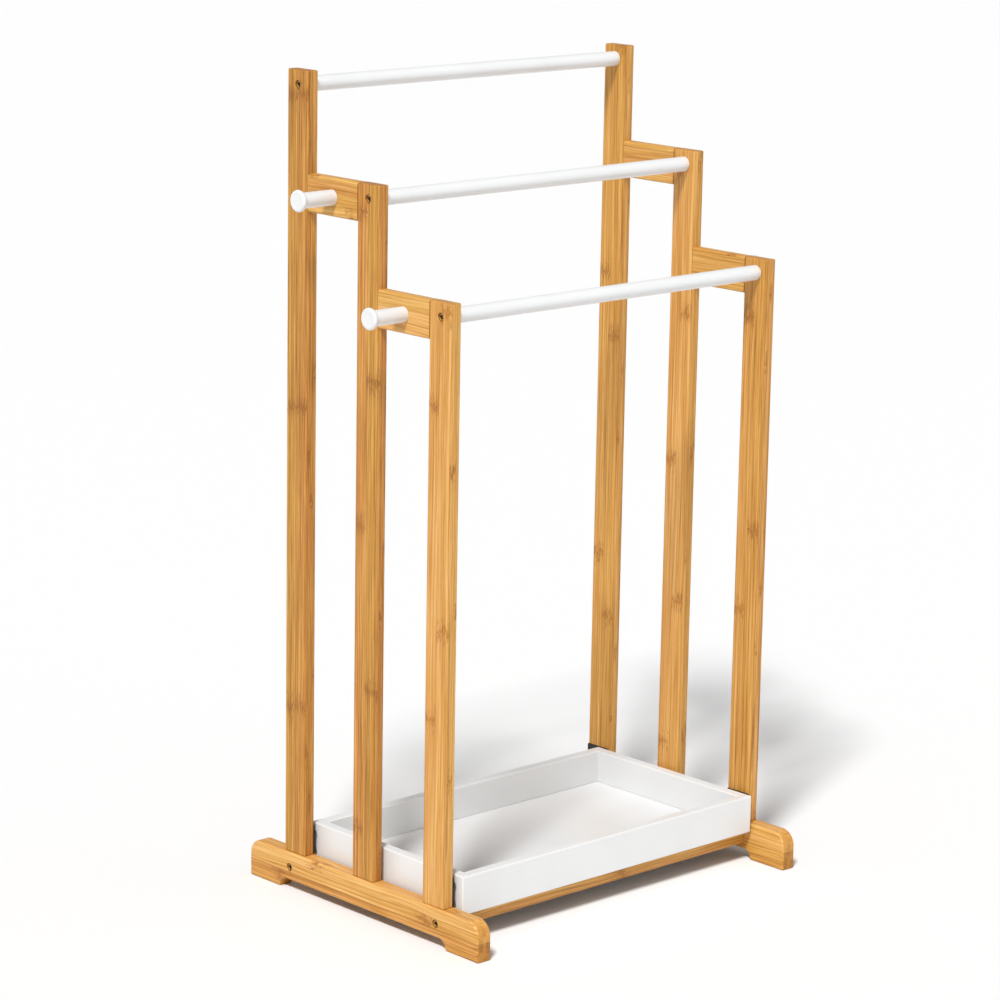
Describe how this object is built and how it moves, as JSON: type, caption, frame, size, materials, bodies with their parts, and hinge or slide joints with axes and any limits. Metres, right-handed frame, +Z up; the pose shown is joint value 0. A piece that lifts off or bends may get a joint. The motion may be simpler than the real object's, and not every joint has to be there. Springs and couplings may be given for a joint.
{
  "type": "towel rack",
  "caption": "Free-standing stepped towel rack with bamboo side frames, white round bars, side pegs and a low open tray carried between the foot beams.",
  "frame": {"origin": "on the floor, under the middle of the rack's bounding box", "axes": "+Z up, +X to the right along the bars seen from the front, -Y to the front where the posts are shortest"},
  "size_m": [0.536, 0.35, 0.84],
  "materials": {
    "bamboo": "clear satin lacquer over laminated bamboo strips",
    "white_lacquer": "smooth white satin lacquer on wood",
    "brassed_steel": "dark brassed socket-head bolts",
    "brass_insert": "plain turned brass",
    "black_steel": "black satin coating"
  },
  "bodies": {
    "root": {"left_foot_beam": "bamboo", "left_rear_post": "bamboo", "left_middle_post": "bamboo", "left_front_post": "bamboo", "left_upper_side_rail": "bamboo", "left_upper_peg": "white_lacquer", "left_lower_side_rail": "bamboo", "left_lower_peg": "white_lacquer", "right_foot_beam": "bamboo", "right_rear_post": "bamboo", "right_middle_post": "bamboo", "right_front_post": "bamboo", "right_upper_side_rail": "bamboo", "right_upper_peg": "white_lacquer", "right_lower_side_rail": "bamboo", "right_lower_peg": "white_lacquer", "rear_bar": "white_lacquer", "left_rear_bar_bolt": "brassed_steel", "left_rear_bar_insert": "brass_insert", "right_rear_bar_bolt": "brassed_steel", "right_rear_bar_insert": "brass_insert", "middle_bar": "white_lacquer", "left_middle_bar_bolt": "brassed_steel", "left_middle_bar_insert": "brass_insert", "right_middle_bar_bolt": "brassed_steel", "right_middle_bar_insert": "brass_insert", "front_bar": "white_lacquer", "left_front_bar_bolt": "brassed_steel", "left_front_bar_insert": "brass_insert", "right_front_bar_bolt": "brassed_steel", "right_front_bar_insert": "brass_insert", "rear_cross_rail": "bamboo", "left_rear_rail_bolt": "brassed_steel", "right_rear_rail_bolt": "brassed_steel", "front_cross_rail": "bamboo", "left_front_rail_bolt": "brassed_steel", "right_front_rail_bolt": "brassed_steel", "left_rear_tray_bracket": "black_steel", "left_rear_tray_bracket_upper_screw": "black_steel", "left_rear_tray_bracket_lower_screw": "black_steel", "left_front_tray_bracket": "black_steel", "left_front_tray_bracket_upper_screw": "black_steel", "left_front_tray_bracket_lower_screw": "black_steel", "right_rear_tray_bracket": "black_steel", "right_rear_tray_bracket_upper_screw": "black_steel", "right_rear_tray_bracket_lower_screw": "black_steel", "right_front_tray_bracket": "black_steel", "right_front_tray_bracket_upper_screw": "black_steel", "right_front_tray_bracket_lower_screw": "black_steel", "tray_left_wall": "white_lacquer", "tray_right_wall": "white_lacquer", "tray_front_wall": "white_lacquer", "tray_rear_wall": "white_lacquer", "tray_floor": "white_lacquer"}
  },
  "joints": []
}
